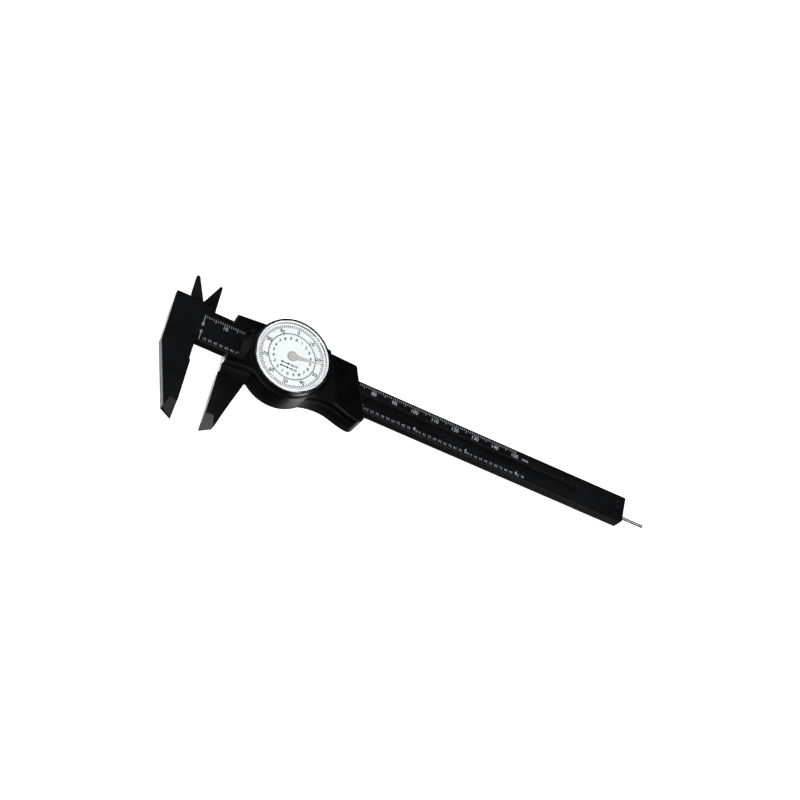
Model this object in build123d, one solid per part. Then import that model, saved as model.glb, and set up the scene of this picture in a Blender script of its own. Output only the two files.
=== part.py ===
"""Dial caliper, 150 mm, moulded body with a rack, pinion and gear movement.

Units are millimetres. X runs along the beam in the opening direction, +Y runs across the beam
towards the inside jaws, and +Z points out of the dial. The saved parts have their origin at the
centre of the fixed outside measuring face, in the middle of the jaw's thickness. Inside this file
Y is measured from the beam's centreline, and save() adds the shift to the origin.
"""
from build123d import *
import math
import os

# ---------------------------------------------------------------- beam and fixed jaws
FACE_Y = 25.6                 # beam centreline above the origin
OPENING = 12.45               # jaw gap in the rest position
BEAM_END = 207.5
BEAM_Y = (-6.5, 7.0)
BEAM_Z = (-3.0, 1.9)
BEAM_CHAMFER = 0.45
END_CHAMFER = 1.2
JAW_HALF_THICK = 1.9          # the jaws are thinner than the beam at the back
HEAD_LEFT = -14.1             # back of the fixed jaw
HEAD_TAPER_Y = -12.6
HEAD_TOP = 12.0
HALF_LAP = 0.1                # half of the gap between the two inside jaws' layers
BLADE_FACE = -7.9             # measuring edge of the fixed inside jaw
BLADE_TIP_Y = 23.4
JAW_FACE_TOP = -16.0          # the flat measuring face runs from here
JAW_FACE_LOW = -36.3          # to here, and the thinned tip follows
JAW_TIP_Y = -44.0
JAW_RELIEF = 0.6
TIP_WIDTH = 5.1
TIP_CORNER_Y = -41.1          # where the jaw's back edge meets the slanting tip
TIP_FACET_WIDTH = 3.6         # upper width of the thinned tip's sloping front
TIP_FACET_Z = 1.15            # its height there at the measuring edge
TIP_SLOPE_ALONG = 0.36        # its fall towards the tip
TIP_SLOPE_ACROSS = 0.21       # its rise away from the measuring edge

# ---------------------------------------------------------------- grooves, rack and rod
GROOVE_LOW = -2.15
GROOVE_TOP = 2.2
GROOVE_FLOOR = 0.3
GROOVE_START = 17.6
GROOVE_END = 182.65
RACK_PITCH = 0.5
RACK_PITCH_LINE = 1.35
RACK_START = 18.25
RACK_TEETH = 325
RACK_TOP_Z = 1.5
ROD_R = 0.7
ROD_Y = -1.1
ROD_Z = -2.15
ROD_START = 69.6
ROD_GROOVE_START = 55.0
ROD_GROOVE_HALF = 0.85
ROD_GROOVE_ROOF = -1.35
STOP_PIN_R = 0.5
STOP_PINS = ((203.75, 3.2), (204.4, 1.0), (203.95, -3.0))
STOP_PIN_BACK = -3.8

# ---------------------------------------------------------------- carriage
DIAL_X = 39.25
LAYER = (-3.1, 2.0)           # jaw layer between the two covers
SLOT_LOW = -6.6
SLOT_TOP = 7.5
DRUM_R = 17.6
WEB_BACK = -4.1
WEB_INSET = 1.6
COVER_BACK = -6.8
COVER_EDGE = 0.8
FRONT_TOP = 6.1
FRONT_EDGE = 0.6
DRUM_TOP = 6.75
FRONT_FLOOR = 3.0
CAVITY_R = 14.5
COLLAR_R = 15.3
COLLAR_TOP = 7.9
ARM_TOP = 10.3
ARM_LEFT = -2.1               # left end of the moving inside jaw's arm
STOP_SLOT_X = 65.4
PIN_POCKET_Z = -4.5
SCREW_SPOTS = ((17.4, 8.8), (63.0, 8.8), (17.0, -10.2), (66.0, -9.4))
SCREW_R = 0.65
SCREW_HEAD_R = 1.2
SCREW_HEAD_TOP = -5.6
SCREW_TIP_Z = 4.6
GIB = (30.0, 66.0)            # ends of the gib strip
GIB_LOW = 7.1
LOCK_X = 56.2
LOCK_SHANK_R = 0.75
LOCK_HEAD_R = 1.7
LOCK_HEAD = (12.3, 15.6)
LOCK_TIP_Y = 7.62

# ---------------------------------------------------------------- movement
GEAR_MODULE = 0.12
GEAR_TEETH = 100
CENTRE_TEETH = 20
RACK_PINION_TEETH = 20
PIVOT_R = 0.5
BUSH_R = 2.1
BUSH_BORE_R = 0.53
BRIDGE = (5.5, 6.1)
BRIDGE_R = 13.4
POST_RING_R = 12.0
POST_ANGLES = (0, 120, 240)
POST_R = 1.3
BRIDGE_SCREW_R = 0.6
BRIDGE_HEAD_R = 1.1

RACK_PINION_R = RACK_PINION_TEETH * RACK_PITCH / (2 * math.pi)
GEAR_CENTRES = GEAR_MODULE * (GEAR_TEETH + CENTRE_TEETH) / 2
DRIVE_Y = RACK_PITCH_LINE - RACK_PINION_R
DRIVE_X = DIAL_X - math.sqrt(GEAR_CENTRES ** 2 - DRIVE_Y ** 2)

# ---------------------------------------------------------------- dial
BEZEL_R = 17.1
BEZEL_LOW = 6.9
BEZEL_TOP = 9.7
BEZEL_BORE_R = 15.4
DIAL_SEAT = 8.1
DIAL_FACE = 8.7
DIAL_R = 16.2
CRYSTAL_R = 16.9
CRYSTAL_SKIRT_IN = 15.3
CRYSTAL_UNDER = 9.95
CRYSTAL_TOP = 10.75
HAND_ANGLE = 90 - 81.7        # hand direction from +X at rest
HAND_LEN = 13.9
HAND_Z = (9.0, 9.3)
HAND_HUB_R = 2.3
BOSS_R = 0.95
BOSS_TOP = 9.7
ARBOR_TOP = 9.4


# ---------------------------------------------------------------- helpers
def save(name, solid):
    """Shift a finished part to the origin and write it."""
    export_step(Pos(0, FACE_Y, 0) * solid, "parts/" + name + ".step")


def block(x, y, z):
    """A box from three (low, high) pairs."""
    size = [high - low for low, high in (x, y, z)]
    centre = [(high + low) / 2 for low, high in (x, y, z)]
    return Pos(*centre) * Box(*size)


def post(x, y, radius, z):
    """An upright cylinder between two heights."""
    return Pos(x, y, (z[0] + z[1]) / 2) * Cylinder(radius, z[1] - z[0])


def slab(face, z):
    """A flat outline raised between two heights."""
    return extrude(Pos(0, 0, z[0]) * face, z[1] - z[0])


def outline(points):
    return make_face(Polyline(*points, close=True))


def ring(x, y, outer, inner, z):
    return post(x, y, outer, z) - post(x, y, inner, (z[0] - 1, z[1] + 1))


def one(shape):
    """The single solid of a result."""
    solids = shape.solids()
    return solids[0] if len(solids) == 1 else shape


def gear_face(teeth, module, phase):
    """Spur gear outline with straight flanks and running backlash, one tooth at the phase angle."""
    pitch_r = teeth * module / 2
    tip_r = pitch_r + 0.8 * module
    root_r = pitch_r - 1.15 * module
    step = 360 / teeth
    points = []
    for tooth in range(teeth):
        middle = phase + tooth * step
        for radius, part in ((root_r, -0.30), (tip_r, -0.10), (tip_r, 0.10), (root_r, 0.30)):
            angle = math.radians(middle + part * step)
            points.append((radius * math.cos(angle), radius * math.sin(angle)))
    return outline(points)


# ---------------------------------------------------------------- beam body
def beam():
    """Scale beam and fixed jaws in one moulding, grooved on both faces."""
    low, high = BEAM_Y
    back, front = BEAM_Z
    c, t = BEAM_CHAMFER, JAW_HALF_THICK
    section = [(low, back + c), (low, front - c), (low + c, front), (high - c, front),
               (high, front - c), (high, back + c), (high - c, back), (low + c, back)]
    bar = extrude(Plane.YZ * outline(section), BEAM_END)
    bar -= slab(outline([(BEAM_END - END_CHAMFER, low), (BEAM_END + 1, low - 1),
                         (BEAM_END + 1, low + 2 * END_CHAMFER), (BEAM_END, low + 1.2 * END_CHAMFER)]), (-4, 3))
    head = slab(outline([(0.5, low), (0.5, high), (HEAD_LEFT, high), (HEAD_LEFT, HEAD_TAPER_Y),
                         (-TIP_WIDTH, TIP_CORNER_Y), (0, JAW_TIP_Y), (0, JAW_FACE_TOP - 0.8),
                         (-JAW_RELIEF, JAW_FACE_TOP), (-JAW_RELIEF, low)]), (-t, t))
    flange = slab(outline([(-0.9, high - 0.5), (-0.9, HEAD_TOP - 0.2), (-2.9, HEAD_TOP),
                           (HEAD_LEFT, HEAD_TOP), (HEAD_LEFT, high - 0.5)]), (HALF_LAP, t))
    blade = slab(outline([(BLADE_FACE, HEAD_TOP - 1), (-2.0, HEAD_TOP - 1), (-2.3, HEAD_TOP + 0.2),
                          (BLADE_FACE + 1.5, BLADE_TIP_Y - 0.3), (BLADE_FACE + 0.5, BLADE_TIP_Y + 0.1),
                          (BLADE_FACE, BLADE_TIP_Y - 0.6)]), (HALF_LAP, t))
    body = bar + head + flange + blade
    body -= tip_wedge(0, -1)
    body -= extrude(Plane.XZ.offset(-HEAD_TOP - 0.9) * outline(
        [(BLADE_FACE - 1, 0.85), (BLADE_FACE, 0.85), (BLADE_FACE + 5.4, t + 0.02),
         (BLADE_FACE + 5.4, t + 1), (BLADE_FACE - 1, t + 1)]), -BLADE_TIP_Y)
    body -= block((GROOVE_START, GROOVE_END), (GROOVE_LOW, GROOVE_TOP), (GROOVE_FLOOR, 3))
    body -= block((ROD_GROOVE_START, BEAM_END + 1),
                  (ROD_Y - ROD_GROOVE_HALF, ROD_Y + ROD_GROOVE_HALF), (-4, ROD_GROOVE_ROOF))
    for x, y in STOP_PINS:
        body -= post(x, y, STOP_PIN_R, (-4, 3))
    edges = body.edges().filter_by(Axis.Z).filter_by_position(Axis.X, HEAD_LEFT - 0.1, HEAD_LEFT + 0.1)
    return one(fillet(edges, 0.8))


def tip_wedge(face_x, side):
    """Cut that thins an outside jaw's tip towards its end and edge; side is where the jaw lies."""
    area = outline([(face_x - side, JAW_FACE_LOW), (face_x + side * TIP_FACET_WIDTH, JAW_FACE_LOW),
                    (face_x + side * TIP_WIDTH, TIP_CORNER_Y), (face_x + side * TIP_WIDTH, -46),
                    (face_x - side, -46)])
    slope = Plane((face_x, JAW_FACE_LOW, TIP_FACET_Z), x_dir=(1, 0, side * TIP_SLOPE_ACROSS),
                  z_dir=(-side * TIP_SLOPE_ACROSS, -TIP_SLOPE_ALONG, 1))
    return slab(area, (-3, 4)) & (slope * Pos(0, 0, 10) * Box(60, 60, 20))


def rack_strip():
    """Toothed strip lying against the upper wall of the beam's front groove."""
    tip = RACK_PITCH_LINE - 0.8 * RACK_PITCH / math.pi
    root = RACK_PITCH_LINE + 1.15 * RACK_PITCH / math.pi
    length = RACK_TEETH * RACK_PITCH
    points = [(RACK_START, GROOVE_TOP), (RACK_START, root)]
    for tooth in range(RACK_TEETH):
        middle = RACK_START + (tooth + 0.5) * RACK_PITCH
        for y, part in ((root, -0.30), (tip, -0.10), (tip, 0.10), (root, 0.30)):
            points.append((middle + part * RACK_PITCH, y))
    points += [(RACK_START + length, root), (RACK_START + length, GROOVE_TOP)]
    return slab(outline(points), (GROOVE_FLOOR, RACK_TOP_Z))


def end_stop_pins():
    """Three pins through the beam's end whose back ends stop the carriage."""
    return Compound([post(x, y, STOP_PIN_R, (STOP_PIN_BACK, BEAM_Z[1])) for x, y in STOP_PINS])


# ---------------------------------------------------------------- carriage outlines
def grip_face(lower):
    """Thumb grip to the right of the dial, closed below by the given points."""
    start, end = lower[0], lower[-1]
    corner = ThreePointArc(end, (76.9, -13.4), (77.6, -10.8))
    top = ThreePointArc((69.5, 9.3), (68.9, 10.7), (67.7, 11.1))
    edges = [Spline(*lower), corner, Line((77.6, -10.8), (69.5, 9.3)), top,
             Line((67.7, 11.1), (45.0, 11.9)), Line((45.0, 11.9), (45.0, start[1])),
             Line((45.0, start[1]), start)]
    return make_face(Curve() + edges)


GRIP_FRONT = ((50.0, -12.9), (57.0, -10.9), (63.0, -11.2), (69.0, -13.1), (73.8, -14.3))
GRIP_BACK = ((50.0, -13.4), (57.0, -11.6), (63.0, -11.7), (69.0, -13.3), (73.8, -14.3))


def carriage_face(left_end=((14.0, 10.7), (14.0, -13.0)), lower=GRIP_BACK):
    """Outline of a carriage layer; the jaw layer and the rear cover share the plain left end."""
    left = outline([(39.0, 11.9), (27.0, 11.9), *left_end, (23.5, -11.9), (28.2, -13.1), (39.0, -13.1)])
    return Pos(DIAL_X, 0) * Circle(DRUM_R) + left + grip_face(lower)


def web_face():
    """Outline of the web behind the beam, inside the carriage's outline all round."""
    left = outline([(39.0, 9.6), (27.0, 9.6), (15.6, 8.4), (15.6, -11.2), (23.5, -10.3),
                    (28.2, -11.4), (39.0, -11.4)])
    right = outline([(45.0, 9.3), (66.8, 8.8), (75.0, -11.2), (73.2, -12.4), (69.0, -11.3),
                     (63.0, -9.5), (57.0, -9.2), (50.0, -11.0), (45.0, -11.0)])
    return Pos(DIAL_X, 0) * Circle(DRUM_R - WEB_INSET) + left + right


# ---------------------------------------------------------------- carriage parts
def moving_jaw_plate():
    """Jaw layer: both moving jaws, the guides above and below the beam, and the web behind it."""
    layer = slab(carriage_face(), LAYER)
    jaw_edges = [Line((OPENING + JAW_RELIEF, SLOT_LOW), (OPENING + JAW_RELIEF, JAW_FACE_TOP)),
                 Line((OPENING + JAW_RELIEF, JAW_FACE_TOP), (OPENING, JAW_FACE_TOP - 0.8)),
                 Line((OPENING, JAW_FACE_TOP - 0.8), (OPENING, JAW_TIP_Y)),
                 Line((OPENING, JAW_TIP_Y), (OPENING + TIP_WIDTH, TIP_CORNER_Y)),
                 ThreePointArc((OPENING + TIP_WIDTH, TIP_CORNER_Y), (18.9, -36.1), (21.2, -28.2)),
                 Line((21.2, -28.2), (26.4, -11.3)),
                 Line((26.4, -11.3), (30.0, SLOT_LOW)),
                 Line((30.0, SLOT_LOW), (OPENING + JAW_RELIEF, SLOT_LOW))]
    layer += slab(make_face(Curve() + jaw_edges), (-JAW_HALF_THICK, JAW_HALF_THICK))
    arm = block((ARM_LEFT, 15.0), (SLOT_LOW, ARM_TOP), (-JAW_HALF_THICK, -HALF_LAP))
    blade_face = BLADE_FACE + OPENING
    blade = slab(outline([(ARM_LEFT, ARM_TOP - 1), (blade_face, ARM_TOP - 1),
                          (blade_face, BLADE_TIP_Y - 0.8), (blade_face - 0.3, BLADE_TIP_Y + 0.1),
                          (blade_face - 1.2, BLADE_TIP_Y - 0.2), (ARM_LEFT, ARM_TOP + 1.5)]),
                 (-JAW_HALF_THICK, -HALF_LAP))
    layer += arm + blade
    layer -= block((-30, 90), (SLOT_LOW, SLOT_TOP), (-4, 3))
    layer += block((ARM_LEFT, 14.6), (SLOT_TOP - 0.4, SLOT_TOP + 0.5), (-JAW_HALF_THICK, -HALF_LAP))
    web = slab(web_face(), (WEB_BACK, LAYER[0]))
    for low, high in ((0.2, 4.2), (-3.8, -2.2)):
        web -= block((STOP_SLOT_X, 80), (low, high), (-5, 0))
    body = layer + web
    body -= tip_wedge(OPENING, 1)
    for x, y in SCREW_SPOTS:
        body -= post(x, y, SCREW_R, (-8, 8))
    body -= lock_hole()
    return one(body)


def lock_hole():
    return Pos(LOCK_X, 10, 0) * Rot(90, 0, 0) * Cylinder(LOCK_SHANK_R + 0.05, 8)


def window_cut():
    """Opening over the beam's scales, with a bevelled right edge."""
    rows = ((FRONT_TOP + 1, 22.0, 6.6, -9.0), (LAYER[1] - 1, 18.0, 6.2, -8.4))
    faces = []
    for z, right, top, low in rows:
        corner = 2.6
        face = outline([(8, low), (right - 1.6, low), (right, low + corner + 1.6), (right, top - 0.4),
                        (right - 0.6, top), (8, top)])
        faces.append(Pos(0, 0, z) * face)
    return loft(Sketch() + faces)


def front_housing():
    """Front cover with the scale window, the thumb grip and the dial's drum and collar."""
    left_end = ((12.95, 10.6), (11.9, 6.0), (11.9, 0.0), (12.7, -8.6), (12.8, -13.1))
    body = slab(carriage_face(left_end, GRIP_FRONT), (LAYER[1], FRONT_TOP))
    top = body.faces().sort_by(Axis.Z)[-1]
    body = chamfer(top.outer_wire().edges(), FRONT_EDGE)
    body -= window_cut()
    body -= grip_slope()
    body += post(DIAL_X, 0, DRUM_R - 0.35, (LAYER[1], DRUM_TOP))
    body += post(DIAL_X, 0, COLLAR_R, (LAYER[1], COLLAR_TOP))
    body -= post(DIAL_X, 0, CAVITY_R, (FRONT_FLOOR, 20))
    body -= ring(DIAL_X, 0, COLLAR_R + 1, COLLAR_R - 0.35, (7.25, 7.65))
    for angle in POST_ANGLES:
        spot = polar(POST_RING_R, angle)
        body += post(*spot, POST_R, (FRONT_FLOOR, BRIDGE[0]))
        body -= post(*spot, BRIDGE_SCREW_R, (FRONT_FLOOR + 0.2, 9))
    for x, y in ((DRIVE_X, DRIVE_Y), (DIAL_X, 0)):
        body -= post(x, y, BUSH_R, (0, FRONT_FLOOR))
    for x, y in SCREW_SPOTS:
        body -= post(x, y, SCREW_R, (0, SCREW_TIP_Z))
    return one(body)


def grip_slope():
    """Thumb hollow: the grip's top falls towards the dial, left of a slanting crease."""
    low, high = FRONT_TOP - 1.5, FRONT_TOP + 0.02
    profile = outline([(0, high), (-9, low), (-9, high + 3), (0, high + 3)])
    wedge = extrude(Plane.XZ * profile, 30, both=True)
    wedge = Pos(60.7, 0, 0) * Rot(0, 0, 21.4) * wedge
    return wedge & block((45, 80), (-40, 40), (0, 12))


def polar(radius, angle):
    """Point around the dial's centre."""
    turn = math.radians(angle)
    return DIAL_X + radius * math.cos(turn), radius * math.sin(turn)


def rear_cover():
    """Rear cover with a pocket for the web and seats for the screw heads."""
    body = slab(carriage_face(), (COVER_BACK, LAYER[0]))
    back = body.faces().sort_by(Axis.Z)[0]
    body = chamfer(back.outer_wire().edges(), COVER_EDGE)
    body -= slab(web_face(), (WEB_BACK, 0))
    body -= block((STOP_SLOT_X, 73.8), (-3.8, 4.2), (PIN_POCKET_Z, 0))
    body -= block((70, 90), (-3.9, 4.3), (PIN_POCKET_Z, 0))
    for x, y in SCREW_SPOTS:
        body -= post(x, y, SCREW_R, (-8, 0))
        body -= post(x, y, SCREW_HEAD_R, (-8, SCREW_HEAD_TOP))
    return one(body)


def cover_screws():
    """Four pan-head screws that clamp the covers and the jaw layer together."""
    screws = []
    for x, y in SCREW_SPOTS:
        head = post(x, y, SCREW_HEAD_R, (COVER_BACK + 0.1, SCREW_HEAD_TOP))
        screw = head + post(x, y, SCREW_R, (SCREW_HEAD_TOP - 0.1, SCREW_TIP_Z))
        for turn in (45, 135):
            slot = Pos(x, y, COVER_BACK + 0.3) * Rot(0, 0, turn) * Box(1.5, 0.35, 0.7)
            screw -= slot
        screws.append(one(screw))
    return Compound(screws)


def gib_strip():
    """Thin wear strip between the beam's top edge and the guide above it."""
    return block(GIB, (GIB_LOW, SLOT_TOP), (-1.4, 1.4))


def depth_rod():
    """Depth rod in the beam's rear groove, level with the beam's end when the jaws are shut."""
    return Pos((ROD_START + BEAM_END + OPENING) / 2, ROD_Y, ROD_Z) * Rot(0, 90, 0) * \
        Cylinder(ROD_R, BEAM_END + OPENING - ROD_START)


def rod_anchor():
    """Block on the web that grips the depth rod's end."""
    body = block((70.2, 73.6), (ROD_Y - 0.78, ROD_Y + 0.78), (LAYER[0], ROD_GROOVE_ROOF - 0.06))
    return body - Pos(72, ROD_Y, ROD_Z) * Rot(0, 90, 0) * Cylinder(ROD_R, 8)


def lock_screw():
    """Thumb screw that presses the gib strip onto the beam."""
    head = Pos(LOCK_X, (LOCK_HEAD[0] + LOCK_HEAD[1]) / 2, 0) * Rot(90, 0, 0) * \
        Cylinder(LOCK_HEAD_R, LOCK_HEAD[1] - LOCK_HEAD[0])
    head = chamfer(head.edges().filter_by(GeomType.CIRCLE), 0.3)
    for step in range(12):
        angle = math.radians(30 * step)
        groove = Pos(LOCK_X + (LOCK_HEAD_R + 0.1) * math.cos(angle), 14.0,
                     (LOCK_HEAD_R + 0.1) * math.sin(angle)) * Rot(90, 0, 0) * Cylinder(0.28, 2.6)
        head -= groove
    top = LOCK_HEAD[0] + 0.4
    shank = Pos(LOCK_X, (LOCK_TIP_Y + top) / 2, 0) * Rot(90, 0, 0) * Cylinder(LOCK_SHANK_R, top - LOCK_TIP_Y)
    return one(head + shank)


# ---------------------------------------------------------------- movement parts
def movement_bridge():
    """Upper bearing plate of the gear movement."""
    body = post(DIAL_X, 0, BRIDGE_R, BRIDGE)
    for angle in (60, 300):
        body -= post(*polar(8.2, angle), 3.4, (0, 9))
    for x, y in ((DRIVE_X, DRIVE_Y), (DIAL_X, 0)):
        body -= post(x, y, BUSH_R, (0, 9))
    for angle in POST_ANGLES:
        body -= post(*polar(POST_RING_R, angle), BRIDGE_SCREW_R, (0, 9))
    return one(body)


def bridge_screws():
    """Three cheese-head screws of the bridge."""
    screws = []
    for angle in POST_ANGLES:
        x, y = polar(POST_RING_R, angle)
        screw = post(x, y, BRIDGE_HEAD_R, (BRIDGE[1], BRIDGE[1] + 0.6))
        screw += post(x, y, BRIDGE_SCREW_R, (3.6, BRIDGE[1] + 0.1))
        screw -= block((x - 1.5, x + 1.5), (y - 0.15, y + 0.15), (BRIDGE[1] + 0.35, 8))
        screws.append(one(screw))
    return Compound(screws)


def bushes(z):
    """Bearing bushes of both arbors at one level."""
    spots = ((DRIVE_X, DRIVE_Y), (DIAL_X, 0))
    return Compound([one(ring(x, y, BUSH_R, BUSH_BORE_R, z)) for x, y in spots])


def drive_arbor():
    """Arbor with the rack pinion at its foot and a seat for the gears."""
    phase = 90 + 180 / RACK_PINION_TEETH + rack_phase()
    pinion = slab(Pos(DRIVE_X, DRIVE_Y) * gear_face(RACK_PINION_TEETH, RACK_PITCH / math.pi, phase),
                  (GROOVE_FLOOR + 0.15, RACK_TOP_Z - 0.05))
    return one(pinion + post(DRIVE_X, DRIVE_Y, PIVOT_R, (GROOVE_FLOOR + 0.15, BRIDGE[1])))


def rack_phase():
    """Turn of the rack pinion that puts one of its gaps over the nearest rack tooth."""
    teeth = (DRIVE_X - RACK_START) / RACK_PITCH - 0.5
    return -(round(teeth) - teeth) * 360 / RACK_PINION_TEETH


def mesh_line():
    """Direction from the drive arbor to the centre arbor."""
    return math.degrees(math.atan2(-DRIVE_Y, DIAL_X - DRIVE_X))


def drive_wheel(z, bore):
    """Large gear on the drive arbor, with five lightening holes."""
    wheel = slab(Pos(DRIVE_X, DRIVE_Y) * gear_face(GEAR_TEETH, GEAR_MODULE, mesh_line()), z)
    wheel -= post(DRIVE_X, DRIVE_Y, bore, (0, 9))
    for hole in range(5):
        turn = math.radians(72 * hole + 36)
        wheel -= post(DRIVE_X + 3.4 * math.cos(turn), DRIVE_Y + 3.4 * math.sin(turn), 0.9, (0, 9))
    return one(wheel)


def backlash_spring():
    """Open ring spring that turns the second gear against the first."""
    spring = ring(DRIVE_X, DRIVE_Y, 5.2, 4.7, (4.75, 5.05))
    return one(spring - block((DRIVE_X, DRIVE_X + 8), (DRIVE_Y - 0.6, DRIVE_Y + 0.6), (4, 6)))


def centre_arbor():
    """Arbor that carries the centre pinion and the hand."""
    phase = mesh_line() + 180 + 180 / CENTRE_TEETH
    pinion = slab(Pos(DIAL_X, 0) * gear_face(CENTRE_TEETH, GEAR_MODULE, phase), (3.3, 4.9))
    return one(pinion + post(DIAL_X, 0, PIVOT_R, (2.1, ARBOR_TOP)))


# ---------------------------------------------------------------- dial parts
def bezel_retainer():
    """Spring ring in the collar's groove that keeps the bezel down."""
    clip = ring(DIAL_X, 0, 15.6, 14.95, (7.3, 7.6))
    return one(clip - block((DIAL_X - 1.2, DIAL_X + 1.2), (-20, -10), (7, 8)))


def bezel_ring():
    """Turning ring that holds the dial and the crystal."""
    body = post(DIAL_X, 0, BEZEL_R, (BEZEL_LOW, BEZEL_TOP))
    body = chamfer(body.edges().sort_by(Axis.Z)[0], 0.25)
    body -= post(DIAL_X, 0, BEZEL_BORE_R, (6, DIAL_SEAT))
    body -= post(DIAL_X, 0, DIAL_R, (DIAL_SEAT, 12))
    body -= post(DIAL_X, 0, 15.75, (7.15, 7.75))
    return one(body)


def dial_plate():
    return ring(DIAL_X, 0, DIAL_R, 1.6, (DIAL_SEAT, DIAL_FACE))


def crystal():
    """Clear cap: a skirt inside the bezel, and a rim that stands on top of it."""
    cap = post(DIAL_X, 0, CRYSTAL_R, (BEZEL_TOP, CRYSTAL_TOP))
    cap += post(DIAL_X, 0, DIAL_R, (DIAL_FACE, BEZEL_TOP + 0.1))
    cap = fillet(cap.edges().sort_by(Axis.Z)[-1], 0.45)
    cap -= post(DIAL_X, 0, CRYSTAL_SKIRT_IN, (DIAL_FACE - 1, CRYSTAL_UNDER))
    return one(cap)


def hand():
    """Broad tapering hand with a round hub."""
    hub = Circle(HAND_HUB_R)
    side = [(0, 1.75), (4.2, 0.85), (7.5, 0.42), (10.6, 0.2), (HAND_LEN, 0.1)]
    blade = outline(side + [(x, -y) for x, y in reversed(side)])
    face = Pos(DIAL_X, 0) * Rot(0, 0, HAND_ANGLE) * (hub + blade)
    return one(slab(face, HAND_Z) - post(DIAL_X, 0, BOSS_R, (8, 12)))


def hand_boss():
    """Capped boss pressed on the centre arbor; the hand is riveted to it."""
    boss = chamfer(post(DIAL_X, 0, BOSS_R, (HAND_Z[0], BOSS_TOP)).edges().sort_by(Axis.Z)[-1], 0.12)
    return one(boss - post(DIAL_X, 0, PIVOT_R, (8, ARBOR_TOP)))


# ---------------------------------------------------------------- write every part
PARTS = {
    "beam": beam,
    "rack_strip": rack_strip,
    "end_stop_pins": end_stop_pins,
    "moving_jaw_plate": moving_jaw_plate,
    "front_housing": front_housing,
    "rear_cover": rear_cover,
    "cover_screws": cover_screws,
    "gib_strip": gib_strip,
    "depth_rod": depth_rod,
    "rod_anchor": rod_anchor,
    "lock_screw": lock_screw,
    "movement_bridge": movement_bridge,
    "bridge_screws": bridge_screws,
    "lower_bushes": lambda: bushes((LAYER[1], FRONT_FLOOR)),
    "upper_bushes": lambda: bushes(BRIDGE),
    "drive_arbor": drive_arbor,
    "drive_gear": lambda: drive_wheel((3.5, 4.05), PIVOT_R),
    "backlash_gear": lambda: drive_wheel((4.15, 4.7), PIVOT_R),
    "backlash_spring": backlash_spring,
    "centre_arbor": centre_arbor,
    "bezel_retainer": bezel_retainer,
    "bezel_ring": bezel_ring,
    "dial_plate": dial_plate,
    "crystal": crystal,
    "hand": hand,
    "hand_boss": hand_boss,
}

os.makedirs("parts", exist_ok=True)
for part_name, make in PARTS.items():
    save(part_name, make())
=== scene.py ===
import math

import bpy
import numpy as np
from mathutils import Euler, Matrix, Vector


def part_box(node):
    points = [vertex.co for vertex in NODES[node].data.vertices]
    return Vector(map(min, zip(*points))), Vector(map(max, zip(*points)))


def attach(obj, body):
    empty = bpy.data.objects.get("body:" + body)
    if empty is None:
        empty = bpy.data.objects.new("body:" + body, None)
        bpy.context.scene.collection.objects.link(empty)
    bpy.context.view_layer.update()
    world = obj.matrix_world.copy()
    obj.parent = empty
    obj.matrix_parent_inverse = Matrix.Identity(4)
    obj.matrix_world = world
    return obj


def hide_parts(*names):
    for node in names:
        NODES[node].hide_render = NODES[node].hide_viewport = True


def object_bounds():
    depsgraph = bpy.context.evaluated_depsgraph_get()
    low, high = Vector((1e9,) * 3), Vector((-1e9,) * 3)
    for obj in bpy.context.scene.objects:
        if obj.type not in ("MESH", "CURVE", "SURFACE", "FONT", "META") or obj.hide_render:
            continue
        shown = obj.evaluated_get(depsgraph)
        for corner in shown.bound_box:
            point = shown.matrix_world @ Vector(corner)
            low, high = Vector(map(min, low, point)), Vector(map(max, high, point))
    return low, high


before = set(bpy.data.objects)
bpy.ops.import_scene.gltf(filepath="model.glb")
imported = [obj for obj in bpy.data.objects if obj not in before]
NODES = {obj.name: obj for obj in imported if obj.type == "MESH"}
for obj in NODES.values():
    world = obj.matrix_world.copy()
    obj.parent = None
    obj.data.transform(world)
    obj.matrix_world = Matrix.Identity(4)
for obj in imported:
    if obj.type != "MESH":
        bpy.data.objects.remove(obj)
cad_box = [list(corner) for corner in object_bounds()]

MM = 0.001
SCENE = bpy.context.scene

# ---------------------------------------------------------------- places read from the frame
beam_lo, beam_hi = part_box("beam")
dial_lo, dial_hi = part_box("dial_plate")
glass_lo, glass_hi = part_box("crystal")
hand_lo, hand_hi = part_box("hand")
boss_lo, boss_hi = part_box("hand_boss")
BEAM_FRONT = beam_hi.z                                # the beam's printed face
DIAL_FACE = dial_hi.z
DIAL_X = (dial_lo.x + dial_hi.x) / 2
DIAL_Y = (dial_lo.y + dial_hi.y) / 2
FLOOR_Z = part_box("rear_cover")[0].z
dial_x, dial_y = DIAL_X / MM, DIAL_Y / MM             # the dial's centre in mm, on the beam's centreline


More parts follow.
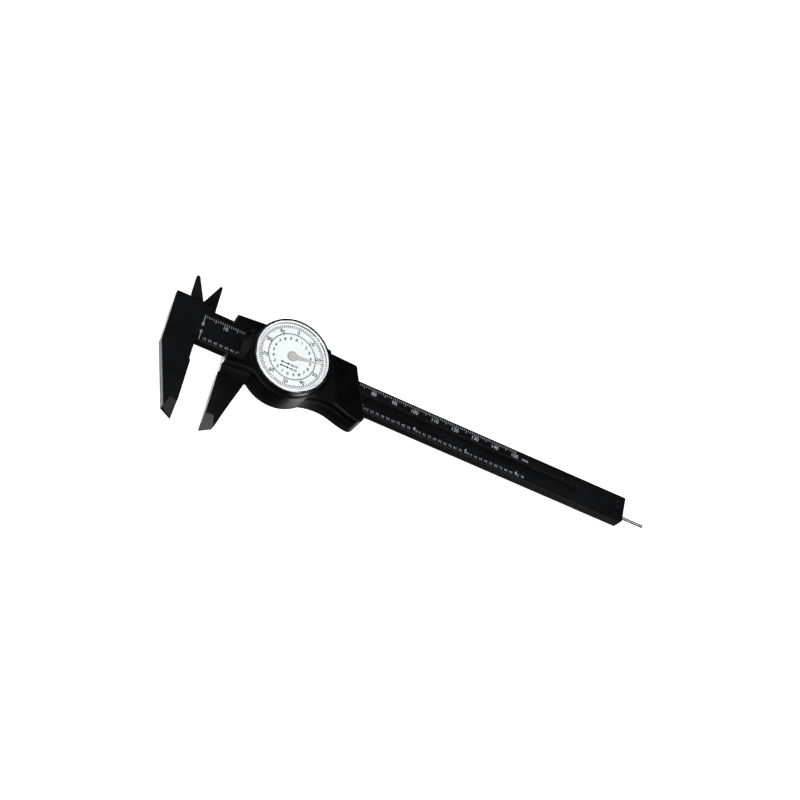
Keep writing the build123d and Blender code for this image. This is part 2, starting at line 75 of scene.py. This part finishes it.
# ---------------------------------------------------------------- node helpers
class Nodes:
    """A material's node tree with short calls for the nodes used here."""

    def __init__(self, name):
        self.material = bpy.data.materials.new(name)
        self.material.use_nodes = True
        self.tree = self.material.node_tree
        self.tree.nodes.clear()
        self.out = self.tree.nodes.new("ShaderNodeOutputMaterial")
        self.place = self.add("ShaderNodeTexCoord").outputs["Object"]

    def add(self, kind, **settings):
        node = self.tree.nodes.new(kind)
        for key, value in settings.items():
            setattr(node, key, value)
        return node

    def join(self, source, target):
        self.tree.links.new(source, target)

    def noise(self, per_metre, detail=3.0, rough=0.55, stretch=(1, 1, 1), distort=0.0):
        scale = self.add("ShaderNodeMapping")
        scale.inputs["Scale"].default_value = [per_metre * s for s in stretch]
        self.join(self.place, scale.inputs["Vector"])
        node = self.add("ShaderNodeTexNoise")
        node.inputs["Scale"].default_value = 1.0
        node.inputs["Detail"].default_value = detail
        node.inputs["Roughness"].default_value = rough
        node.inputs["Distortion"].default_value = distort
        self.join(scale.outputs["Vector"], node.inputs["Vector"])
        return node.outputs["Fac"]

    def spread(self, value, low, high, start=0.3, end=0.7):
        """value's start..end range mapped to low..high."""
        node = self.add("ShaderNodeMapRange", clamp=True)
        for key, number in (("From Min", start), ("From Max", end), ("To Min", low), ("To Max", high)):
            node.inputs[key].default_value = number
        self.join(value, node.inputs["Value"])
        return node.outputs["Result"]

    def sum(self, a, b, kind="ADD"):
        node = self.add("ShaderNodeMath", operation=kind)
        for socket, value in zip(node.inputs, (a, b)):
            if isinstance(value, (int, float)):
                socket.default_value = value
            else:
                self.join(value, socket)
        return node.outputs[0]

    def blend(self, factor, first, second):
        """A colour between two, each a colour or a socket."""
        node = self.add("ShaderNodeMix", data_type="RGBA")
        colours = [s for s in node.inputs if s.type == "RGBA"]
        self.join(factor, node.inputs["Factor"])
        for socket, value in zip(colours, (first, second)):
            if isinstance(value, tuple):
                socket.default_value = (*value, 1)
            else:
                self.join(value, socket)
        return [s for s in node.outputs if s.type == "RGBA"][0]

    def bump(self, height, strength, distance, normal=None):
        node = self.add("ShaderNodeBump")
        node.inputs["Strength"].default_value = strength
        node.inputs["Distance"].default_value = distance
        self.join(height, node.inputs["Height"])
        if normal is not None:
            self.join(normal, node.inputs["Normal"])
        return node.outputs["Normal"]

    def round_edges(self, radius):
        node = self.add("ShaderNodeBevel", samples=6)
        node.inputs["Radius"].default_value = radius
        return node.outputs["Normal"]

    def edge_mask(self, rounded, low=0.02, high=0.25):
        """1 along convex and concave edges, where the rounded normal leaves the face's own."""
        face = self.add("ShaderNodeNewGeometry").outputs["Normal"]
        dot = self.add("ShaderNodeVectorMath", operation="DOT_PRODUCT")
        self.join(rounded, dot.inputs[0])
        self.join(face, dot.inputs[1])
        return self.spread(self.sum(1.0, dot.outputs["Value"], "SUBTRACT"), 0.0, 1.0, low, high)

    def principled(self, **constants):
        node = self.add("ShaderNodeBsdfPrincipled")
        for key, value in constants.items():
            node.inputs[key.replace("_", " ")].default_value = value
        return node

    def show(self, shader):
        self.join(shader, self.out.inputs["Surface"])
        return self.material


# ---------------------------------------------------------------- materials
def moulded_plastic(name, dark, light, rough, grain=0.25, gloss=0.4, wear=0.012,
                    flow=(1, 1, 1), edge=0.25):
    """Black injection-moulded plastic: cloudy colour, fine grain, edges polished by handling."""
    n = Nodes(name)
    shader = n.principled(Specular_IOR_Level=gloss, IOR=1.49)
    rounded = n.round_edges(edge * MM)
    cloud = n.noise(110, 4.0, 0.6, flow)
    patches = n.noise(28, 2.0)
    rubbed = n.sum(n.edge_mask(rounded), n.spread(n.noise(420, 3.0), 0.15, 1.0), "MULTIPLY")
    body = n.blend(n.spread(cloud, 0, 1), dark, light)
    worn = tuple(c + wear for c in light)
    n.join(n.blend(rubbed, body, worn), shader.inputs["Base Color"])
    mottled = n.sum(n.spread(cloud, -0.05, 0.05), n.spread(patches, -0.04, 0.04))
    dull = n.sum(mottled, rough)
    n.join(n.sum(dull, n.spread(rubbed, 0.0, 0.1, 0, 1), "SUBTRACT"), shader.inputs["Roughness"])
    fine = n.noise(5200, 2.0, 0.5)
    waves = n.noise(160, 1.0, 0.4, flow)
    soft = n.bump(waves, 0.12, 0.05 * MM, rounded)
    n.join(n.bump(fine, grain, 0.012 * MM, soft), shader.inputs["Normal"])
    return n.show(shader.outputs[0])


def metal(name, dark, light, rough, stretch=(1, 1, 1), per_metre=900, lines=0.25, edge=0.08):
    """Worked metal with lines along its cut, slightly tarnished in patches."""
    n = Nodes(name)
    shader = n.principled(Metallic=1.0, Specular_IOR_Level=0.5)
    cut = n.noise(per_metre, 3.0, 0.6, stretch)
    stain = n.noise(240, 4.0, 0.65)
    from_cut = n.sum(n.spread(cut, 0, 1), 0.45, "MULTIPLY")
    mix = n.sum(from_cut, n.sum(n.spread(stain, 0, 1), 0.55, "MULTIPLY"))
    n.join(n.blend(mix, dark, light), shader.inputs["Base Color"])
    uneven = n.sum(n.spread(cut, -0.07, 0.07), n.spread(stain, 0.05, -0.05))
    n.join(n.sum(uneven, rough), shader.inputs["Roughness"])
    n.join(n.bump(cut, lines, 0.01 * MM, n.round_edges(edge * MM)), shader.inputs["Normal"])
    return n.show(shader.outputs[0])


def paint(name, dark, light, rough, grain=0.15, gloss=0.4):
    """Thin even paint or ink: faint clouding and a slight orange-peel surface."""
    n = Nodes(name)
    shader = n.principled(Specular_IOR_Level=gloss)
    cloud = n.noise(300, 4.0, 0.6)
    speck = n.noise(2600, 2.0, 0.6)
    from_cloud = n.sum(n.spread(cloud, 0, 1), 0.6, "MULTIPLY")
    both = n.sum(from_cloud, n.sum(n.spread(speck, 0, 1), 0.4, "MULTIPLY"))
    n.join(n.blend(both, dark, light), shader.inputs["Base Color"])
    n.join(n.sum(n.spread(cloud, -0.06, 0.06), rough), shader.inputs["Roughness"])
    n.join(n.bump(n.noise(1500, 2.0), grain, 0.01 * MM), shader.inputs["Normal"])
    return n.show(shader.outputs[0])


def clear_cap(name):
    """Clear acrylic with faint haze and hair-fine scratches; lamps shine through it."""
    n = Nodes(name)
    glass = n.principled(Transmission_Weight=1.0, IOR=1.49, Specular_IOR_Level=0.5)
    haze = n.noise(90, 3.0, 0.6)
    tint = n.blend(n.spread(haze, 0, 1), (0.965, 0.975, 0.975), (1.0, 1.0, 1.0))
    n.join(tint, glass.inputs["Base Color"])
    n.join(n.spread(haze, 0.004, 0.03), glass.inputs["Roughness"])
    hair = n.noise(260, 2.0, 0.5, (1, 14, 1), 0.6)
    n.join(n.bump(hair, 0.03, 0.01 * MM), glass.inputs["Normal"])
    clear = n.add("ShaderNodeBsdfTransparent")
    clear.inputs["Color"].default_value = (0.94, 0.95, 0.95, 1)
    lamps = n.add("ShaderNodeMixShader")
    n.join(n.add("ShaderNodeLightPath").outputs["Is Shadow Ray"], lamps.inputs[0])
    n.join(glass.outputs[0], lamps.inputs[1])
    n.join(clear.outputs[0], lamps.inputs[2])
    return n.show(lamps.outputs[0])


BEAM_BLACK = moulded_plastic("beam_black", (0.0009, 0.0010, 0.0015), (0.0018, 0.0020, 0.0028), 0.42,
                             flow=(0.35, 1, 1))
JAW_BLACK = moulded_plastic("jaw_black", (0.0008, 0.0008, 0.0009), (0.0016, 0.0016, 0.0018), 0.40)
HOUSING_BLACK = moulded_plastic("housing_black", (0.0005, 0.0005, 0.0005), (0.0012, 0.0012, 0.0012), 0.34,
                                gloss=0.34, wear=0.005)
COVER_BLACK = moulded_plastic("cover_black", (0.0018, 0.0018, 0.0019), (0.0034, 0.0034, 0.0035),
                              0.44, grain=0.35)
BEZEL_BLACK = moulded_plastic("bezel_black", (0.0010, 0.0010, 0.0014), (0.0022, 0.0022, 0.0028), 0.26,
                              grain=0.12, wear=0.004, gloss=0.42, edge=0.2)
RACK_BLACK = moulded_plastic("rack_black", (0.0010, 0.0010, 0.0011), (0.0022, 0.0022, 0.0023), 0.5,
                             wear=0.004, edge=0.05)
KNOB_BLACK = moulded_plastic("knob_black", (0.0020, 0.0020, 0.0021), (0.0040, 0.0040, 0.0041),
                             0.38, edge=0.12)
DIAL_WHITE = paint("dial_white", (0.68, 0.70, 0.705), (0.78, 0.80, 0.80), 0.5)
# Darker grey for the ring around the hub's rim: painted shade standing in for the shade at the hub's edge
HUB_SHADE_GREY = paint("hub_shade_grey", (0.26, 0.26, 0.25), (0.34, 0.34, 0.33), 0.38)
HAND_GREY = paint("hand_grey", (0.39, 0.38, 0.355), (0.48, 0.47, 0.445), 0.38)
BOSS_GREY = paint("boss_grey", (0.40, 0.40, 0.38), (0.50, 0.50, 0.48), 0.30)
SCALE_INK = paint("scale_ink", (0.42, 0.43, 0.46), (0.66, 0.67, 0.70), 0.55)
DIAL_INK = paint("dial_ink", (0.020, 0.022, 0.024), (0.045, 0.047, 0.050), 0.5)
FAINT_INK = paint("faint_ink", (0.17, 0.17, 0.18), (0.28, 0.28, 0.29), 0.5)
RING_INK = paint("ring_ink", (0.05, 0.055, 0.06), (0.10, 0.105, 0.11), 0.5)
STEEL_ROD = metal("steel_rod", (0.38, 0.38, 0.38), (0.56, 0.56, 0.55), 0.26, (0.06, 1, 1), 1800)
STEEL_PIN = metal("steel_pin", (0.07, 0.07, 0.075), (0.13, 0.13, 0.13), 0.36, (1, 1, 0.1), 2600)
STEEL_SCREW = metal("steel_screw", (0.38, 0.38, 0.37), (0.62, 0.61, 0.59), 0.34, (1, 1, 1), 1900)
STEEL_ARBOR = metal("steel_arbor", (0.40, 0.41, 0.42), (0.60, 0.60, 0.60), 0.28, (1, 1, 0.08), 2400)
STEEL_SPRING = metal("steel_spring", (0.26, 0.27, 0.30), (0.42, 0.43, 0.46), 0.30, (0.1, 1, 1), 2400)
BRASS = metal("brass_cut", (0.48, 0.33, 0.12), (0.72, 0.54, 0.24), 0.30, (1, 1, 0.2), 1600)
BRONZE = metal("bronze_sintered", (0.30, 0.18, 0.09), (0.52, 0.34, 0.18), 0.42, (1, 1, 1), 2600)
CLEAR = clear_cap("clear_cap")

FINISH = {
    "beam": BEAM_BLACK,
    "moving_jaw_plate": JAW_BLACK,
    "front_housing": HOUSING_BLACK,
    "rear_cover": COVER_BLACK,
    "bezel_ring": BEZEL_BLACK,
    "bezel_retainer": STEEL_SPRING,
    "rack_strip": RACK_BLACK,
    "lock_screw": KNOB_BLACK,
    "dial_plate": DIAL_WHITE,
    "hand": HAND_GREY,
    "crystal": CLEAR,
    "depth_rod": STEEL_ROD,
    "rod_anchor": BRASS,
    "end_stop_pins": STEEL_PIN,
    "cover_screws": STEEL_SCREW,
    "bridge_screws": STEEL_SCREW,
    "gib_strip": BRONZE,
    "movement_bridge": BRASS,
    "lower_bushes": BRASS,
    "upper_bushes": BRASS,
    "hand_boss": BOSS_GREY,
    "centre_arbor": STEEL_ARBOR,
    "drive_arbor": STEEL_ARBOR,
    "drive_gear": BRASS,
    "backlash_gear": BRASS,
    "backlash_spring": STEEL_SPRING,
}
for node_name, node in NODES.items():
    node.data.materials.clear()
    node.data.materials.append(FINISH[node_name])


# ---------------------------------------------------------------- dial cap and hand, finer than CAD
SHARP_ANGLE = math.radians(24)


def mesh_piece(name, points, faces, finish, body, node):
    """A mesh from points in mm that stands for a CAD node."""
    mesh = bpy.data.meshes.new(name)
    mesh.from_pydata([(x * MM, y * MM, z * MM) for x, y, z in points], [], faces)
    mesh.validate()
    mesh.shade_smooth()
    mesh.set_sharp_from_angle(angle=SHARP_ANGLE)
    mesh.materials.append(finish)
    piece = bpy.data.objects.new(name, mesh)
    SCENE.collection.objects.link(piece)
    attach(piece, body)
    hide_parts(node)
    return piece


def arc(x, z, radius, start, end, steps=6):
    """Points of a rounded corner in a profile, angles in degrees."""
    angles = [math.radians(start + (end - start) * i / steps) for i in range(steps + 1)]
    return [(x + radius * math.cos(a), z + radius * math.sin(a)) for a in angles]


def turned(profile, centre_x, centre_y, steps=160):
    """Closed solid of revolution; the profile runs from the axis to the axis, outside first."""
    points = [(centre_x, centre_y, profile[0][1]), (centre_x, centre_y, profile[-1][1])]
    rings = profile[1:-1]
    turns = [math.tau * i / steps for i in range(steps)]
    for r, z in rings:
        points += [(centre_x + r * math.cos(a), centre_y + r * math.sin(a), z) for a in turns]
    faces = []
    for i in range(steps):
        j = (i + 1) % steps
        faces.append([0, 2 + i, 2 + j])
        for k in range(len(rings) - 1):
            a, b = 2 + k * steps, 2 + (k + 1) * steps
            faces.append([a + i, b + i, b + j, a + j])
        last = 2 + (len(rings) - 1) * steps
        faces.append([1, last + j, last + i])
    return points, faces


glass_r = (glass_hi.x - glass_lo.x) / 2 / MM
glass_top, glass_low = glass_hi.z / MM, glass_lo.z / MM
SEAT_GAP = 0.05        # clearance between the cap's skirt and the dial
CAP_THICK = 0.8
CAP_ROUND = 0.42       # radius of the cap's upper edge
FLANGE_DEEP = 1.05     # how far the wide rim reaches below the top
FLANGE_ROUND = 0.06
SKIRT_OUT, SKIRT_IN = glass_r - 0.75, glass_r - 1.6
SKIRT_NICK_OUT, SKIRT_NICK_IN = 0.1, 0.05
INNER_ROUND = 0.2      # radius inside, between the cap and its skirt
skirt_low = glass_low + SEAT_GAP
cap_profile = (
    [(0, glass_top)]
    + arc(glass_r - CAP_ROUND, glass_top - CAP_ROUND, CAP_ROUND, 90, 0)
    + arc(glass_r - FLANGE_ROUND, glass_top - FLANGE_DEEP + FLANGE_ROUND, FLANGE_ROUND, 0, -90, 3)
    + [(SKIRT_OUT, glass_top - FLANGE_DEEP), (SKIRT_OUT, skirt_low + SKIRT_NICK_OUT),
       (SKIRT_OUT - SKIRT_NICK_OUT, skirt_low), (SKIRT_IN + SKIRT_NICK_IN, skirt_low),
       (SKIRT_IN, skirt_low + SKIRT_NICK_IN)]
    + arc(SKIRT_IN - INNER_ROUND, glass_top - CAP_THICK - INNER_ROUND, INNER_ROUND, 0, 90, 4)
    + [(0, glass_top - CAP_THICK)]
)
points, faces = turned(cap_profile, dial_x, dial_y)
mesh_piece("dial_cap", points, faces, CLEAR, "bezel", "crystal")

HUB_R = 2.25
ROOT_HALF = 1.1        # half the blade's width where it leaves the hub
HAND_TURN = math.radians(8.3)
HAND_BEVEL = 0.07
HUB_STEPS = 64
hand_long = (hand_hi.x - DIAL_X) / MM / math.cos(HAND_TURN)


def hand_mesh():
    """Hub disc and narrow tapering blade in one, with bevelled edges and the boss's hole."""
    root = math.asin(ROOT_HALF / HUB_R)
    turns = [root + (math.tau - 2 * root) * i / HUB_STEPS for i in range(HUB_STEPS + 1)]
    outer = [(HUB_R * math.cos(a), HUB_R * math.sin(a)) for a in turns]
    blade = [(4.2, 0.82), (7.5, 0.46), (10.6, 0.22), (hand_long, 0.1)]
    outer += [(x, -y) for x, y in blade] + [(x, y) for x, y in reversed(blade)]
    count = len(outer)
    hole_r = (boss_hi.x - boss_lo.x) / 2 / MM
    spokes = [math.atan2(y, x) for x, y in outer]
    hole = [(hole_r * math.cos(a), hole_r * math.sin(a)) for a in spokes]
    low, high = hand_lo.z / MM, hand_hi.z / MM
    c, s = math.cos(HAND_TURN), math.sin(HAND_TURN)

    def ring_at(flat, z, inset=0.0):
        made = []
        for x, y in flat:
            k = 1 - inset / math.hypot(x, y)
            made.append((dial_x + k * (c * x - s * y), dial_y + k * (s * x + c * y), z))
        return made

    rings = [ring_at(hole, low), ring_at(outer, low), ring_at(outer, high - HAND_BEVEL),
             ring_at(outer, high, HAND_BEVEL), ring_at(hole, high)]
    points = [p for ring_points in rings for p in ring_points]
    faces = []
    for level in range(len(rings)):
        a, b = level * count, (level + 1) % len(rings) * count
        for i in range(count):
            j = (i + 1) % count
            faces.append([a + i, a + j, b + j, b + i])
    return points, faces


points, faces = hand_mesh()
mesh_piece("dial_hand", points, faces, HAND_GREY, "hand_shaft", "hand")


# ---------------------------------------------------------------- printed marks and the hub's painted shade ring, as thin raised meshes
SUNK = 0.01            # how far a mark reaches into the face it is printed on
CORNER = 0.2           # a bar's corner cut, as a share of its shorter side


class Print:
    """Collects flat printed shapes and writes them as one mesh of real thickness."""

    def __init__(self, surface, thick=0.02):
        self.points, self.faces = [], []
        self.low, self.high = surface - SUNK * MM, surface + thick * MM

    def add(self, flat, polygons):
        """A closed slab from a flat outline: flat is (n, 2) in mm, polygons index it counter-clockwise."""
        base, count = len(self.points), len(flat)
        for z in (self.low, self.high):
            self.points += [(x * MM, y * MM, z) for x, y in flat]
        edges = {}
        for polygon in polygons:
            self.faces.append([base + count + i for i in polygon])
            self.faces.append([base + i for i in reversed(polygon)])
            for a, b in zip(polygon, polygon[1:] + polygon[:1]):
                edges[(a, b)] = True
        for a, b in edges:
            if (b, a) not in edges:
                self.faces.append([base + a, base + b, base + count + b, base + count + a])

    def bar(self, x, y, width, height, turn=0.0):
        """A rounded bar centred on x, y, its height along +Y before it is turned."""
        nick = min(width, height) * CORNER
        w, h = width / 2, height / 2
        ring = [(-w + nick, -h), (w - nick, -h), (w, -h + nick), (w, h - nick),
                (w - nick, h), (-w + nick, h), (-w, h - nick), (-w, -h + nick)]
        c, s = math.cos(turn), math.sin(turn)
        self.add([(x + c * a - s * b, y + s * a + c * b) for a, b in ring], [list(range(8))])

    def circle(self, x, y, radius, width, steps=160):
        """A flat ring, or a disc when the width is twice the radius."""
        angles = [math.tau * i / steps for i in range(steps)]
        r_in, r_out = radius - width / 2, radius + width / 2
        inner = [(x + r_in * math.cos(a), y + r_in * math.sin(a)) for a in angles]
        outer = [(x + r_out * math.cos(a), y + r_out * math.sin(a)) for a in angles]
        quads = [[i, steps + i, steps + (i + 1) % steps, (i + 1) % steps] for i in range(steps)]
        self.add(inner + outer, quads)

    def text(self, words, x, y, height, squeeze=1.0, weight=0.0):
        flat, polygons = glyphs(words, weight)
        flat = flat * (height * squeeze, height) + (x, y)
        self.add([tuple(p) for p in flat], polygons)

    def write(self, name, finish, body):
        mesh = bpy.data.meshes.new(name)
        mesh.from_pydata(self.points, [], self.faces)
        mesh.validate()
        mesh.update()
        mesh.materials.append(finish)
        piece = bpy.data.objects.new(name, mesh)
        SCENE.collection.objects.link(piece)
        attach(piece, body)
        return piece


GLYPH_CACHE = {}
DIGIT_TALL = 0.71      # height of the built-in font's digits at size 1


def glyphs(words, weight=0.0):
    """Flat letters, centred, with the height of a digit as 1: (points, polygons)."""
    if (words, weight) in GLYPH_CACHE:
        return GLYPH_CACHE[words, weight]
    curve = bpy.data.curves.new("letters", "FONT")
    curve.body, curve.size, curve.resolution_u = words, 1.0, 4
    curve.offset = weight
    holder = bpy.data.objects.new("letters", curve)
    SCENE.collection.objects.link(holder)
    shaped = holder.evaluated_get(bpy.context.evaluated_depsgraph_get())
    mesh = bpy.data.meshes.new_from_object(shaped)
    flat = np.array([v.co for v in mesh.vertices], float)[:, :2]
    polygons = [list(p.vertices) for p in mesh.polygons]
    if mesh.polygons and mesh.polygons[0].normal.z < 0:
        polygons = [p[::-1] for p in polygons]
    bpy.data.objects.remove(holder)
    bpy.data.curves.remove(curve)
    bpy.data.meshes.remove(mesh)
    middle_x = (flat[:, 0].min() + flat[:, 0].max()) / 2
    flat = (flat - (middle_x, DIGIT_TALL / 2)) / DIGIT_TALL
    GLYPH_CACHE[words, weight] = (flat, polygons)
    return flat, polygons


ZERO_X = 0.6           # where the scales' zero lines stand, mm right of the fixed face
TICK_TOP = dial_y + 6.0
MARK_WIDE = 0.17       # width of a scale's division line
ZERO_WIDE = 0.2

mm_ticks = Print(BEAM_FRONT)
mm_digits = Print(BEAM_FRONT)
mm_ticks.bar(ZERO_X, dial_y + 4.4, ZERO_WIDE, 3.6)
mm_digits.text("0", ZERO_X, dial_y + 1.7, 1.7)
for value in range(1, 151):
    length = 1.2 if value % 10 == 0 else 1.7 if value % 5 == 0 else 0.95
    mm_ticks.bar(ZERO_X + value, TICK_TOP - length / 2, MARK_WIDE, length)
    if value % 10 == 0:
        mm_digits.text(str(value), ZERO_X + value - 0.1, dial_y + 3.75, 1.75)
mm_digits.text("mm", ZERO_X + 155.1, dial_y + 3.7, 1.5)
mm_ticks.write("mm_scale_ticks", SCALE_INK, "beam")
mm_digits.write("mm_scale_digits", SCALE_INK, "beam")

TENTH_MM = 2.54        # a tenth of an inch
TENTH_MARK = 1.25
TENTH_LINE = dial_y - 4.8
inch_ticks = Print(BEAM_FRONT)
inch_digits = Print(BEAM_FRONT)
inch_ticks.bar(ZERO_X + 0.1, dial_y - 4.4, ZERO_WIDE, 2.8)
inch_digits.text("0", ZERO_X + 0.1, dial_y - 1.95, 1.5)
for tenth in range(1, 61):
    x = TENTH_MM * tenth
    if tenth % 10:
        inch_digits.text(str(tenth % 10), x - 0.1, dial_y - 4.75, 0.95, 1.05)
        inch_ticks.bar(x + 0.8, TENTH_LINE, MARK_WIDE, TENTH_MARK)
    else:
        inch_digits.text(str(tenth // 10), x + 0.3, dial_y - 4.1, 1.9)
        inch_ticks.bar(x + 1.5, TENTH_LINE, MARK_WIDE, TENTH_MARK)
inch_digits.text("in", ZERO_X + 155.4, dial_y - 4.4, 1.4)
inch_ticks.write("inch_scale_ticks", SCALE_INK, "beam")
inch_digits.write("inch_scale_digits", SCALE_INK, "beam")

# The dial's printed rings, as radii in mm
OUTER_TICKS_R, OUTER_DIGITS_R = 14.5, 11.98
RING_R, RING_WIDE = 10.6, 0.42
INNER_TICKS_R, INNER_DIGITS_R = 10.45, 8.4


def on_dial(turn_deg, radius):
    """A dial point in mm at a clockwise angle from 12 o'clock, and the turn of a mark there."""
    a = math.radians(turn_deg)
    return dial_x + radius * math.sin(a), dial_y + radius * math.cos(a), -a


outer_ticks = Print(DIAL_FACE)
for step in range(100):
    length = 1.6 if step % 10 == 0 else 1.45 if step % 5 == 0 else 1.2
    x, y, turn = on_dial(3.6 * step, OUTER_TICKS_R - length / 2)
    outer_ticks.bar(x, y, 0.36, length, turn)
outer_ticks.write("dial_outer_ticks", DIAL_INK, "bezel")

outer_digits = Print(DIAL_FACE)
for step in range(0, 100, 10):
    x, y, _ = on_dial(3.6 * step, OUTER_DIGITS_R)
    outer_digits.text(str(step), x, y, 1.65, weight=0.025)
outer_digits.write("dial_outer_digits", DIAL_INK, "bezel")

ring = Print(DIAL_FACE)
ring.circle(dial_x, dial_y, RING_R, RING_WIDE)
ring.write("dial_ring", RING_INK, "bezel")

inner_ticks = Print(DIAL_FACE)
for step in range(40):
    length = 0.75 if step % 2 == 0 else 0.45
    x, y, turn = on_dial(9 * step, INNER_TICKS_R - length / 2)
    inner_ticks.bar(x, y, 0.14, length, turn)
inner_ticks.write("dial_inner_ticks", FAINT_INK, "bezel")

inner_digits = Print(DIAL_FACE)
for step in range(20):
    x, y, _ = on_dial(18 * step, INNER_DIGITS_R)
    inner_digits.text(str(step % 10), x, y, 1.35, weight=0.04)
inner_digits.write("dial_inner_digits", DIAL_INK, "bezel")

LEGEND_LINES = (-3.92, -5.72)      # heights of the legend's two lines from the dial's centre
BLOB_R = 0.26
left = dial_x - 3.9
legend = Print(DIAL_FACE)
legend_faint = Print(DIAL_FACE)
for line in LEGEND_LINES:
    y = dial_y + line
    legend.bar(left + 1.75, y, 3.3, 0.46)
    for blob_x in (0.3, 3.2):
        legend.circle(left + blob_x, y, BLOB_R, 2 * BLOB_R, 16)
    legend_faint.text("=0.10", left + 5.75, y, 1.05, weight=0.05)
legend.write("dial_legend_bars", DIAL_INK, "bezel")
legend_faint.write("dial_legend_values", RING_INK, "bezel")

# A dark grey ring just inside the hub's rim: painted shade for the hub's edge, not a print
hub_rim_shade = Print(hand_hi.z)
hub_rim_shade.circle(dial_x, dial_y, HUB_R - 0.2, 0.3)
hub_rim_shade.write("hub_rim_shade", HUB_SHADE_GREY, "hand_shaft")


# ---------------------------------------------------------------- floor, light and camera
FLOOR_GLOW = 0.9
FLOOR_HALF = 6.0


def floor_material():
    n = Nodes("studio_floor")
    pale = n.principled(Roughness=0.9, Specular_IOR_Level=0.1, Emission_Strength=FLOOR_GLOW)
    tone = n.blend(n.noise(3.0, 2.0), (0.90, 0.90, 0.90), (0.93, 0.93, 0.93))
    n.join(tone, pale.inputs["Base Color"])
    pale.inputs["Emission Color"].default_value = (1, 1, 1, 1)
    return n.show(pale.outputs[0])


floor_mesh = bpy.data.meshes.new("floor")
corners = [(-1, -1), (1, -1), (1, 1), (-1, 1)]
floor_mesh.from_pydata([(FLOOR_HALF * x, FLOOR_HALF * y, FLOOR_Z) for x, y in corners], [], [(0, 1, 2, 3)])
floor_mesh.materials.append(floor_material())
floor = bpy.data.objects.new("floor", floor_mesh)
SCENE.collection.objects.link(floor)
floor.visible_glossy = False
floor.visible_shadow = False

# Studio brightness by direction: (direction, cosine where it starts, cosine where it is full, strength).
# Dark flags take light away from above; lobes add it from below, where the walls look.
DARK_FLAGS = [
    ((0.28, 0.51, 0.81), 0.45, 0.90, 0.996),
    ((0.28, -0.81, 0.51), 0.74, 0.93, 0.85),
    ((-0.69, -0.46, 0.56), 0.80, 0.95, 0.70),
]
WORLD_LIGHT = 0.95
LOBES = [
    ((0.56, -0.06, -0.82), 0.965, 0.997, 1.8),
    ((-0.523, 0.254, -0.813), 0.95, 0.995, 1.9),
    ((-0.282, 0.509, -0.813), 0.965, 0.995, 4.0),
]
BELOW_LIGHT = 0.012
HORIZON = (-0.16, 0.02)            # heights between which above fades in


def studio_world():
    world = bpy.data.worlds.new("studio")
    world.use_nodes = True
    tree = world.node_tree
    tree.nodes.clear()
    out = tree.nodes.new("ShaderNodeOutputWorld")
    back = tree.nodes.new("ShaderNodeBackground")
    place = tree.nodes.new("ShaderNodeTexCoord").outputs["Generated"]

    def ramp(value, start, end, low, high):
        node = tree.nodes.new("ShaderNodeMapRange")
        node.interpolation_type = "SMOOTHSTEP"
        for key, number in (("From Min", start), ("From Max", end), ("To Min", low), ("To Max", high)):
            node.inputs[key].default_value = number
        tree.links.new(value, node.inputs["Value"])
        return node.outputs["Result"]

    def toward(direction):
        node = tree.nodes.new("ShaderNodeVectorMath")
        node.operation = "DOT_PRODUCT"
        node.inputs[1].default_value = Vector(direction).normalized()
        tree.links.new(place, node.inputs[0])
        return node.outputs["Value"]

    def math_of(kind, a, b):
        node = tree.nodes.new("ShaderNodeMath")
        node.operation = kind
        for socket, value in zip(node.inputs, (a, b)):
            if isinstance(value, (int, float)):
                socket.default_value = value
            else:
                tree.links.new(value, socket)
        return node.outputs[0]

    above = WORLD_LIGHT
    for direction, start, end, dark in DARK_FLAGS:
        above = math_of("MULTIPLY", above, ramp(toward(direction), start, end, 1.0, 1.0 - dark))
    below = BELOW_LIGHT
    for direction, start, end, strength in LOBES:
        below = math_of("ADD", below, ramp(toward(direction), start, end, 0.0, strength))
    up = ramp(toward((0, 0, 1)), *HORIZON, 0.0, 1.0)
    down = math_of("SUBTRACT", 1.0, up)
    total = math_of("ADD", math_of("MULTIPLY", above, up), math_of("MULTIPLY", below, down))
    back.inputs["Color"].default_value = (1, 1, 1, 1)
    tree.links.new(total, back.inputs["Strength"])
    tree.links.new(back.outputs[0], out.inputs["Surface"])
    return world


SCENE.world = studio_world()


def softbox(name, place, target, width, height, watts):
    """A rectangular lamp that faces the target."""
    data = bpy.data.lights.new(name, "AREA")
    data.shape, data.size, data.size_y, data.energy = "RECTANGLE", width, height, watts
    lamp = bpy.data.objects.new(name, data)
    lamp.location = place
    lamp.rotation_mode = "QUATERNION"
    lamp.rotation_quaternion = (Vector(target) - Vector(place)).to_track_quat("-Z", "Y")
    SCENE.collection.objects.link(lamp)


centre = (Vector(cad_box[0]) + Vector(cad_box[1])) / 2
softbox("key_left", centre + Vector((-0.45, -0.45, 1.05)), centre, 0.6, 0.6, 8)
softbox("fill_front", centre + Vector((0.45, -0.5, 1.1)), centre, 0.6, 0.5, 3)

CAMERA_PLACE = (-0.137224, -0.382417, 0.664050)
CAMERA_TURN = (25.58130, -25.62433, 13.07758)          # degrees about X, Y and Z
CAMERA_LENS, CAMERA_SENSOR = 85.156, 36.0

camera_data = bpy.data.cameras.new("camera")
camera_data.sensor_width = CAMERA_SENSOR
camera_data.lens = CAMERA_LENS
camera_data.clip_start, camera_data.clip_end = 0.05, 20.0
camera = bpy.data.objects.new("camera", camera_data)
camera.location = CAMERA_PLACE
camera.rotation_euler = Euler([math.radians(a) for a in CAMERA_TURN], "XYZ")
SCENE.collection.objects.link(camera)
SCENE.camera = camera
SCENE.view_settings.view_transform = "Standard"
SCENE.view_settings.look = "None"

bpy.context.view_layer.update()
